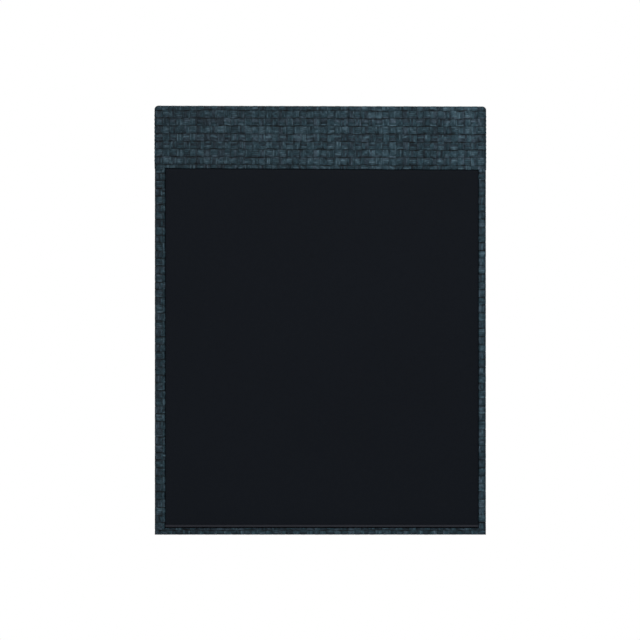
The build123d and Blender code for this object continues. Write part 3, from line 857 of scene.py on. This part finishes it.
def side_border(side, outer, inner):
    """The left or right border, from the mitre at the foot to just under the header."""
    section = border_section(outer, inner)
    x = -outer if side == "right" else outer
    head = OPEN_TOP + header_drop(x, OPEN_TOP) + TUCK
    cut = mitre(outer, inner - outer, OPEN_BOTTOM - BOTTOM)
    ends = lambda c, y, ny: (BOTTOM + cut(c, y), head + 0 * c)
    return Panel(side, section, BOTTOM, head, section.middle(2, 3), ends)


def bottom_border():
    section = border_section(BOTTOM, OPEN_BOTTOM)
    height = OPEN_BOTTOM - BOTTOM
    cut_left, cut_right = mitre(BOTTOM, height, OPEN_LEFT - LEFT), mitre(BOTTOM, height, RIGHT - OPEN_RIGHT)
    ends = lambda c, y, ny: (LEFT + cut_left(c, y), RIGHT - cut_right(c, y))
    return Panel("bottom", section, LEFT, RIGHT, section.middle(2, 3), ends)


def header_end_radius(y):
    """The header's ends are rounded like its other front edges, and run out to square at the back."""
    return HEADER_END_R * smooth((BACK - y - 1 * MM) / RUN_OUT)


def run_out_stations(section):
    """Distances along a header section where its ends run out from round to square."""
    return section.marks[-3] - np.arange(1, 10) * 1.8 * MM


def turned_inset(c, y, outer):
    """How far in a place lies on the turned-over edge, where the corners are mitred."""
    return np.where(y > BACK - 2 * MM, np.maximum(c - outer, 0.0), 0.0)


def header_band():
    """The header's front, top and turned-over back, as one cloth that bends round both ends."""
    top, front = -TOP - HEADER_LIFT, FRONT - HEADER_LIFT
    hem, turned = [(-OPEN_TOP, front + HEM_DEPTH), (-OPEN_TOP, front)], [(top, BACK), (top + TURNOVER, BACK)]
    section = Section([*hem, (top, front), *turned], [HEM_R, HEADER_EDGE_R, BACK_R])
    half = RIGHT + HEADER_LIFT

    def ends(c, y, ny):
        radius = header_end_radius(y)
        reach = half - turned_inset(c, y, top) - radius + radius * QUARTER
        return -reach, reach

    reach = half - HEADER_END_R + HEADER_END_R * QUARTER
    panel = Panel("top", section, -reach, reach, section.middle(2, 3), ends, header_end_radius, inner_from=2)
    panel.inner_stations = np.union1d(panel.inner_stations, run_out_stations(section))
    return panel


def header_gusset(side):
    """The header's side wall and its turned-over edge, sewn to the band behind the rounded edge."""
    outer, top = LEFT - HEADER_LIFT, TOP + HEADER_LIFT
    seam = FRONT - HEADER_LIFT + HEADER_END_R
    section = Section([(outer, seam), (outer, BACK), (outer + TURNOVER, BACK)], [BACK_R])
    ends = lambda c, y, ny: (OPEN_TOP + 0 * c, top - header_end_radius(y) - turned_inset(c, y, outer))
    panel = Panel(side, section, OPEN_TOP, top - HEADER_END_R, 0.0, ends)
    panel.front_c = outer + HEADER_END_R - HEADER_END_R * QUARTER
    panel.inner_stations = np.union1d(panel.inner_stations, run_out_stations(section))
    return panel


def header_lining():
    """The strip of cover that lines the top of the opening, behind the header's hem."""
    c = -OPEN_TOP - LINING_GAP
    section = Section([(c, FRONT + RETURN_DEPTH), (c, FRONT - HEADER_LIFT + HEM_DEPTH)], [])
    ends = lambda c, y, ny: (OPEN_LEFT + 0 * c, OPEN_RIGHT + 0 * c)
    return Panel("top", section, OPEN_LEFT, OPEN_RIGHT, section.length, ends)


def woven(name, panel, node, move=None, holes=()):
    """Builds one of the cover's panels, and hides the CAD cover node named by node."""
    piece = panel.build(name, move, holes)
    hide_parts(node)


def make_cover():
    """The woven cover's six sewn pieces and the strip that lines the top of the opening."""
    node = "cover_header"
    woven("woven_header", header_band(), node, settle_header)
    woven("woven_header_lining", header_lining(), node, settle_header)
    for side in ("left", "right"):
        woven(f"woven_header_{side}", header_gusset(side), node, settle_header)
    borders = ("left", LEFT, OPEN_LEFT, wavy_lip), ("right", -RIGHT, -OPEN_RIGHT, None)
    for side, outer, inner, move in borders:
        border = side_border(side, outer, inner)
        woven(f"woven_{side}", border, f"cover_{side}", move)
    eyelets = [(centre.x, centre.y) for centre in islands("vent_eyelets")]
    woven("woven_bottom", bottom_border(), "cover_bottom", holes=eyelets)


# ------------------------------------------------------------------ cushion, foams and cloths


def node_box(name):
    """A CAD node's box as x0, x1, z0, z1 and its front and back depths."""
    low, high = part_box(name)
    return (low.x, high.x, low.z, high.z), low.y, high.y


def corner_point(way, radius, inset):
    """How far in from two sides a point lies, way along from a rounded corner's middle to the first side."""
    arc = radius * math.pi / 4
    if way < arc:
        angle = math.pi / 4 - way / radius
        return inset + radius * (1 - math.cos(angle)), inset + radius * (1 - math.sin(angle))
    return inset, inset + radius + way - arc


def ring_grid(box, corner, insets, zone, pitch):
    """A grid over a rectangle whose outermost rings are rounded rectangles, one for each inset."""
    x0, x1, z0, z1 = box
    rings = len(insets)
    xs = np.concatenate([np.full(rings, x0), spread(x0 + zone, x1 - zone, pitch), np.full(rings, x1)])
    zs = np.concatenate([np.full(rings, z0), spread(z0 + zone, z1 - zone, pitch), np.full(rings, z1)])
    x, z = np.meshgrid(xs, zs, indexing="ij")
    m, n = x.shape
    for k, inset in enumerate(insets):
        x[k, rings : n - rings], x[m - 1 - k, rings : n - rings] = x0 + inset, x1 - inset
        z[rings : m - rings, k], z[rings : m - rings, n - 1 - k] = z0 + inset, z1 - inset
        radius = min(max(corner - inset, 0.2 * MM), zone - inset)
        length = radius * math.pi / 4 + zone - inset - radius
        for step in range(k, rings):
            off, along = corner_point(length * (step - k) / (rings - k), radius, inset)
            for i, j, from_x, from_z in ((k, step, off, along), (step, k, along, off)):
                for row, x_here in ((i, x0 + from_x), (m - 1 - i, x1 - from_x)):
                    for column, z_here in ((j, z0 + from_z), (n - 1 - j, z1 - from_z)):
                        x[row, column], z[row, column] = x_here, z_here
    i, j = np.meshgrid(np.arange(m), np.arange(n), indexing="ij")
    ring = np.minimum(np.minimum(i, m - 1 - i), np.minimum(j, n - 1 - j))
    return x, z, ring


def rim_loop(m, n, start=0):
    """The numbers of the points round the border of an m by n grid."""
    there = [i * n for i in range(m)] + [(m - 1) * n + j for j in range(1, n)]
    back = [i * n + n - 1 for i in range(m - 2, -1, -1)] + list(range(n - 2, 0, -1))
    return [start + k for k in there + back]


def two_sided(name, box, corner, front, back, zone, pitch, look, body):
    """A closed form of two grids joined at their rims.

    Each side is its rings of inset and depth, its depth inside the rings and how far it bulges at each place.
    """
    points, faces, loops = [], [], []
    for rings, depth, bulge in (front, back):
        insets, depths = zip(*rings)
        x, z, ring = ring_grid(box, corner, insets, zone, pitch)
        y = np.array([*depths, depth])[np.minimum(ring, len(rings))] + bulge(x, z) * (ring >= len(rings) - 1)
        start = sum(len(p) for p in points)
        faces += grid_faces(*x.shape, start)
        loops.append(rim_loop(*x.shape, start))
        points.append(np.stack([x, y, z], axis=-1).reshape(-1, 3))
    first, second = loops
    for k in range(len(first)):
        after = (k + 1) % len(first)
        faces.append([first[k], first[after], second[after], second[k]])
    return new_object(name, np.concatenate(points), faces, look, body)


def rounded_edge(depth, radius, inwards, steps=4):
    """Rings of inset and depth round an edge, from the wall to the face at depth. inwards is +1 or -1."""
    angles = np.linspace(0, QUARTER, steps + 1)[:-1]
    return [(radius * (1 - math.cos(a)), depth + inwards * radius * (1 - math.sin(a))) for a in angles]


def ripple(size, length, phase):
    """Shallow hollows and rises over a cut face."""

    def bulge(x, z):
        k = TURN / length
        first = np.sin(x * k + phase) * np.cos(z * k * 0.8 + 2 * phase)
        second = np.sin((x + z) * k * 1.7 + 1.0) * np.sin((x - z) * k * 1.3 + phase)
        return size * (0.6 * first + 0.4 * second)

    return bulge


FRONT_RIPPLE, BACK_RIPPLE = ripple(0.12 * MM, 90 * MM, 0.7), ripple(0.08 * MM, 110 * MM, 1.9)


def nut_dents(x, z):
    """Dents that the tee nuts' flanges press in the foam behind them."""
    near = np.min([np.hypot(x - nut.x, z - nut.z) for nut in islands("tee_nuts")], axis=0)
    return -1.5 * MM * smooth((13 * MM - near) / (4 * MM)) + np.minimum(BACK_RIPPLE(x, z), 0.0)


def foam_block(
    name, node, look, body, pitch=8 * MM, edge=0.8 * MM, zone=3 * MM, lift=0.0, glued=False, behind=BACK_RIPPLE
):
    """Cut foam in place of a plain CAD block: eased edges, shallow ripples, and a glue line where glued."""
    (x0, x1, z0, z1), front, back = node_box(node)
    front_rings, back_rings = rounded_edge(front, edge, 1), rounded_edge(back, edge, -1)
    if glued:
        middle, groove = (front + back) / 2, 0.3 * MM
        front_rings = [(groove, middle), (0.0, middle - 0.5 * MM)] + front_rings
        back_rings = [(groove, middle + 0.05 * MM), (0.0, middle + 0.55 * MM)] + back_rings
    hollows = lambda x, z: np.maximum(FRONT_RIPPLE(x, z), 0.0)
    sides = (front_rings, front, hollows), (back_rings, back, behind)
    piece = two_sided(name, (x0, x1, z0 + lift, z1), 1.0 * MM, *sides, zone, pitch, look, body)
    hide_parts(node)
    return piece


def simulate_crown(box):
    """How far a flat skin held at its border swells over its foam, by cloth simulation: lines and heights."""
    x0, x1, z0, z1 = box
    xs, zs = spread(x0, x1, CUSHION_PITCH), spread(z0, z1, CUSHION_PITCH)
    x, z = np.meshgrid(xs, zs, indexing="ij")
    mesh = bpy.data.meshes.new("skin_cloth")
    mesh.from_pydata(np.stack([x, 0 * x, z], axis=-1).reshape(-1, 3).tolist(), [], grid_faces(*x.shape))
    skin = add(bpy.data.objects.new("skin_cloth", mesh))
    skin.vertex_groups.new(name="held").add(rim_loop(*x.shape), 1.0, "REPLACE")
    settings = skin.modifiers.new("cloth", "CLOTH").settings
    settings.quality = 6
    settings.mass = 0.4
    settings.tension_stiffness = settings.compression_stiffness = 60
    settings.bending_stiffness = 4
    settings.vertex_group_mass = "held"
    settings.use_pressure = True
    settings.uniform_pressure_force = 4
    settings.effector_weights.gravity = 0
    scene = bpy.context.scene
    for number in range(1, SIM_FRAMES + 1):
        scene.frame_set(number)
    shaped = skin.evaluated_get(bpy.context.evaluated_depsgraph_get()).data
    swell = np.abs(coordinates(shaped)[:, 1]).reshape(x.shape)
    bpy.data.objects.remove(skin)
    scene.frame_set(1)
    return xs, zs, CROWN * np.tanh(swell / CROWN)


def bilinear(xs, zs, heights):
    """A function that reads heights given on the lines xs and zs."""

    def read(x, z):
        i = np.clip((x - xs[0]) / (xs[1] - xs[0]), 0, len(xs) - 1.001)
        j = np.clip((z - zs[0]) / (zs[1] - zs[0]), 0, len(zs) - 1.001)
        i0, j0 = i.astype(int), j.astype(int)
        return blend_cells(i0, j0, i - i0, j - j0, lambda m, n: heights[m, n])

    return read


def face_skin():
    """The striking face: vinyl swelled over its foam, rolled over at the border and down to its seam."""
    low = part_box("face_panel")[0]
    front = low.y - FACE_LIFT
    x0, x1, z0, z1 = OPEN_LEFT + FACE_FIT, OPEN_RIGHT - FACE_FIT, low.z - UNDER_PIPING, OPEN_TOP
    crown = bilinear(*simulate_crown((x0 + CUSHION_R, x1 - CUSHION_R, z0 + CUSHION_R, z1 - CUSHION_R)))
    out = lambda x, z: -crown(x, z)
    wall = [(0.25 * MM, front + SEAM_DEPTH + 0.9 * MM), (0.0, front + SEAM_DEPTH)]
    outer = wall + rounded_edge(front, CUSHION_R, 1, 6)[1:]
    inner = wall + rounded_edge(front + SKIN_T, CUSHION_R - SKIN_T, 1, 6)[1:]
    inner = [(inset + SKIN_T, y) for inset, y in inner]
    sides = (outer, front, out), (inner, front + SKIN_T, out)
    box, zone = (x0, x1, z0, z1), CUSHION_R + 2.6 * MM
    piece = two_sided("face_skin", box, 1.4 * MM, *sides, zone, 4 * MM, "face_vinyl", "striking_face")
    for point in piece.data.vertices:
        near_top = float(smooth((point.co.z - z1 + 40 * MM) / (39 * MM)))
        point.co.z += near_top * float(header_drop(point.co.x, OPEN_TOP))
    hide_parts("face_panel")


def rounded_outline(box, corner, pitch):
    """Places and outward normals round a rounded rectangle."""
    x0, x1, z0, z1 = np.array(box) + corner * np.array([1, -1, 1, -1])
    centres = np.array([(x1, z0), (x1, z1), (x0, z1), (x0, z0)])
    places, normals = [], []
    for number, (centre, after) in enumerate(zip(centres, np.roll(centres, -1, axis=0))):
        angles = np.radians(np.linspace(0, 90, 7) + 90 * (number - 1))
        out = np.stack([np.cos(angles), np.sin(angles)], axis=-1)
        count = round(np.linalg.norm(after - centre) / pitch)
        along = (after - centre) * np.arange(1, count)[:, None] / count
        places += [centre + corner * out, centre + corner * out[-1] + along]
        normals += [out, np.repeat(out[-1:], count - 1, axis=0)]
    return np.concatenate(places), np.concatenate(normals)


def face_boxing():
    """The cushion's side wall: a band of vinyl sewn under the face, slightly full between its two seams."""
    box, front, back = node_box("face_boxing")
    places, normals = rounded_outline(box, 2.0 * MM, 3.2 * MM)
    rows, columns = len(places), 9
    depths = np.linspace(front + 0.25 * MM, back - 0.15 * MM, columns)
    near_seams = 1 - np.sin(np.linspace(0, math.pi, columns))
    pucker = 0.12 * MM * np.sin(np.arange(rows) * 2.1)[:, None]
    full = (pucker - 0.28 * MM) * near_seams
    shells = []
    for inset in (0.12 * MM, 1.0 * MM):
        x, z = (places[:, [k]] + normals[:, [k]] * (full - inset) for k in (0, 1))
        shells.append(np.stack([x, depths + 0 * x, z], axis=-1).reshape(-1, 3))
    start = rows * columns
    faces = grid_faces(rows, columns, 0, True) + grid_faces(rows, columns, start, True)
    for k in range(rows):
        for edge in (0, columns - 1):
            a, b = k * columns + edge, (k + 1) % rows * columns + edge
            faces.append([a, b, start + b, start + a])
    piece = new_object("face_boxing_band", np.concatenate(shells), faces, "face_vinyl", "striking_face")
    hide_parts("face_boxing")


def tube_faces(rings, sides):
    """The faces of a tube of rings of points, with both of its ends."""
    faces = []
    for k in range(rings - 1):
        for side in range(sides):
            a, b = k * sides + side, k * sides + (side + 1) % sides
            faces.append([a, b, b + sides, a + sides])
    return faces + [list(range(sides)), list(range((rings - 1) * sides, rings * sides))]


# The hem's section: the height within its box, 0 at the foot and 1 at the top, and how far it stands out
HEM_SECTION = [
    (1.08, 0.36), (0.97, 0.48), (0.84, 0.60), (0.68, 0.72), (0.50, 0.81),
    (0.32, 0.84), (0.15, 0.77), (0.04, 0.62), (0.00, 0.42), (0.03, 0.20),
    (0.15, 0.05), (0.40, 0.00), (0.70, 0.00), (0.95, 0.08), (1.06, 0.22),
]


def face_hem():
    """The welt along the face's foot: vinyl folded over a cord, pinched a little at each stitch."""
    (x0, x1, z0, z1), front, back = node_box("face_welt")
    x0, x1, z0, z1 = x0 + HEM_END, x1 - HEM_END, z0 + HEM_RAISE, z1 + HEM_RAISE
    low, out = np.array(HEM_SECTION).T
    taper = np.array([0.0, 0.15, 0.4, 0.9]) * MM
    xs = np.concatenate([x0 + taper, spread(x0 + 2 * MM, x1 - 2 * MM, STITCH / 4), (x1 - taper)[::-1]])
    pinch = 0.03 * np.cos(xs * TURN / STITCH) ** 2 + 0.02 * np.sin(xs * TURN / (47 * MM))
    size = np.interp(np.minimum(xs - x0, x1 - xs), taper, [0.75, 0.92, 0.98, 1.0]) - pinch
    z = z0 + (z1 - z0) * (0.5 + (low - 0.5) * size[:, None])
    y = back - (back - front) * (0.4 + (out - 0.4) * size[:, None])
    points = np.stack([xs[:, None] + 0 * y, y, z], axis=-1).reshape(-1, 3)
    piece = new_object("face_hem", points, tube_faces(*y.shape), "welt_vinyl", "striking_face")
    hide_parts("face_welt")


def backing_sheet():
    """The cloth that closes the cushion behind its foam."""
    box, front, back = node_box("face_backing_cloth")
    gap = 0.1 * MM
    quilt = ripple(0.08 * MM, 45 * MM, 0.4)
    outer = [(gap, front + gap)], front + 0.05 * MM, lambda x, z: np.abs(quilt(x, z))
    inner = [(gap, back - gap)], back - gap, lambda x, z: np.abs(quilt(x, z)) * 0.5
    looks = "backing_cloth", "striking_face"
    piece = two_sided("backing_sheet", box, 1.5 * MM, outer, inner, 2.5 * MM, 6 * MM, *looks)
    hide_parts("face_backing_cloth")


def dust_sheet():
    """Black cloth over the back. Its rim lies on the cover's turned edge, and it puckers between staples."""
    box, _, _ = node_box("dust_cover")
    rim_y, flat_y, thickness = -6.45 * MM, -7.5 * MM, 0.32 * MM
    bars = [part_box(name) for name in ("pad_bar_upper", "pad_bar_lower")]
    wave = ripple(0.55 * MM, 120 * MM, 2.2)

    def nearest(node, x, z):
        return np.min([np.hypot(x - part.x, z - part.z) for part in islands(node)], axis=0)

    def puckers(x, z):
        near = nearest("dust_cover_staples", x, z)
        edge = np.minimum(np.minimum(x - box[0], box[1] - x), np.minimum(z - box[2], box[3] - z))
        around = np.where(np.abs(x) / box[1] > np.abs(z) / box[3], z, x)
        folds = np.sin(around * TURN / (14.5 * MM)) * smooth((near - 3 * MM) / (18 * MM))
        rim_part = smooth((34 * MM - edge) / (30 * MM))
        return 0.28 * MM * (0.5 + 0.5 * folds) * rim_part * smooth((near - 2 * MM) / (12 * MM))

    def bulge(x, z):
        """Slack and puckers, where neither a bumper nor a bar holds the cloth down."""
        clear = smooth((nearest("rubber_bumpers", x, z) - 15 * MM) / (14 * MM))
        for low, high in bars:
            beyond_x, beyond_z = np.abs(x) - high.x, np.maximum(low.z - z, z - high.z)
            away = np.hypot(np.maximum(beyond_x, 0), np.maximum(beyond_z, 0))
            clear = np.minimum(clear, smooth((away - 3 * MM) / (14 * MM)))
        return (np.abs(wave(x, z)) + puckers(x, z)) * clear

    insets = np.array([0.0, 1.6, 3.2, 5.0, 6.8, 9.0, 10.2, 11.4, 12.6, 14.0]) * MM
    depths = rim_y + (flat_y - rim_y) * smooth((insets - 8.8 * MM) / (3.4 * MM))
    outer, inner = list(zip(insets, depths)), list(zip(insets, depths - thickness))
    outer[0] = (0.0, rim_y - 0.1 * MM)
    sides = (outer, flat_y, bulge), (inner, flat_y - thickness, bulge)
    piece = two_sided("dust_sheet", box, 3 * MM, *sides, 16 * MM, 3.2 * MM, "dust_cloth", "pad")
    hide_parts("dust_cover")


def make_foams():
    """The soft foam under the face, the foam that it pushes into, the firm base and the blocks round them."""
    soft, firm = ("soft_foam", "striking_face"), ("firm_foam", "pad")
    dented = {"pitch": 5 * MM, "behind": nut_dents}
    comfort = foam_block("comfort_block", "comfort_foam", *soft, edge=1.6 * MM, zone=4 * MM)
    impact = foam_block("impact_block", "impact_foam", "impact_foam", "pad", glued=True)
    base = foam_block("base_block", "base_foam", *firm, **dented)
    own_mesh(impact)
    foam_block("header_foam", "header_block", *firm, **dented, lift=1.2 * MM)
    for side, zone in (("left", 2.6 * MM), ("right", 2.0 * MM), ("bottom", 1.6 * MM)):
        foam_block(f"rail_foam_{side}", f"edge_rail_{side}", *firm, zone=zone)


def stitch_row(start, end, out):
    """Stitches from one point to another on the cover, which faces out, as points and faces."""
    start, end, out = np.array(start), np.array(end), np.array(out, float)
    length = np.linalg.norm(end - start)
    along = (end - start) / length
    across = np.cross(along, out)
    count = int(length / TOPSTITCH)
    spare = (length - count * TOPSTITCH) / 2
    turns = np.arange(6) * math.pi / 3
    ring = THREAD_R * (np.cos(turns)[:, None] * across + np.sin(turns)[:, None] * out)
    # Along a stitch: the share of its length, how high the thread lies in radii, and its size
    shape = [(0.06, -0.5, 0.5), (0.16, 0.3, 0.9), (0.45, 0.7, 1.0), (0.74, 0.3, 0.9), (0.84, -0.5, 0.5)]
    points, faces = [], []
    for k in range(count):
        first = start + along * (spare + k * TOPSTITCH)
        base = len(points) * 6
        for share, rise, size in shape:
            centre = first + along * (share * TOPSTITCH) + out * (rise * THREAD_R - THREAD_SUNK)
            points.append(centre + ring * size)
        tube = tube_faces(len(shape), 6)
        faces += [[base + number for number in face] for face in tube]
    return np.concatenate(points), faces


def cover_stitches():
    """Tone-on-tone topstitching beside the cover's seams on its side walls and foot corners."""
    near, far = FRONT + 8 * MM, BACK - 4 * MM
    behind_edge = FRONT + HEADER_END_R + SEAM_ALLOWANCE
    points, faces = [], []
    for side, flush in ((-1, LEFT), (1, RIGHT)):
        wall = flush + side * HEADER_LIFT
        seam_z = OPEN_TOP + float(header_drop(wall, OPEN_TOP)) + SEAM_ALLOWANCE
        top_z = TOP + float(header_drop(wall, TOP)) - SEAM_ALLOWANCE - HEADER_END_R
        foot_z = BOTTOM + SEAM_ALLOWANCE
        beside_hem = (wall, near, seam_z), (wall, far, seam_z)
        beside_band = (wall, behind_edge, seam_z + 3 * MM), (wall, behind_edge, top_z)
        beside_foot = (flush, near, foot_z), (flush, far, foot_z)
        for start, end in (beside_hem, beside_band, beside_foot):
            row_points, row_faces = stitch_row(start, end, (side, 0, 0))
            base = sum(len(p) for p in points)
            faces += [[base + k for k in face] for face in row_faces]
            points.append(row_points)
    new_object("cover_stitches", np.concatenate(points), faces, "thread", "pad")


# ------------------------------------------------------------------ carried-over parts and the floor

CAD_LOOKS = {
    "bar_aluminium": ("wall_bar_upper", "wall_bar_lower", "pad_bar_upper", "pad_bar_lower"),
    "zinc_steel": ("bar_screws", "tee_nuts", "bumper_screws", "cover_staples", "dust_cover_staples"),
    "plywood": ("backing_board",),
    "eyelet_metal": ("vent_eyelets",),
    "bumper_rubber": ("rubber_bumpers",),
}


def dress_cad():
    """Gives the CAD's own meshes their materials."""
    for look, nodes in CAD_LOOKS.items():
        for node in nodes:
            for material_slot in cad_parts[node].material_slots:
                material_slot.material = MATERIALS[look]


def make_floor():
    """A pale floor under the pad, where a stand or a wall's foot would be."""
    floor_z, half, near, far = -0.46, 1.1, -1.5, 0.8
    points = [(-half, near, floor_z), (half, near, floor_z), (half, far, floor_z), (-half, far, floor_z)]
    mesh = bpy.data.meshes.new("floor")
    mesh.from_pydata(points, [], [[0, 1, 2, 3]])
    mesh.materials.append(MATERIALS["floor"])
    add(bpy.data.objects.new("floor", mesh))


make_studio()
make_floor()
dress_cad()
face_skin()
face_boxing()
face_hem()
backing_sheet()
dust_sheet()
make_foams()
make_cover()
cover_stitches()
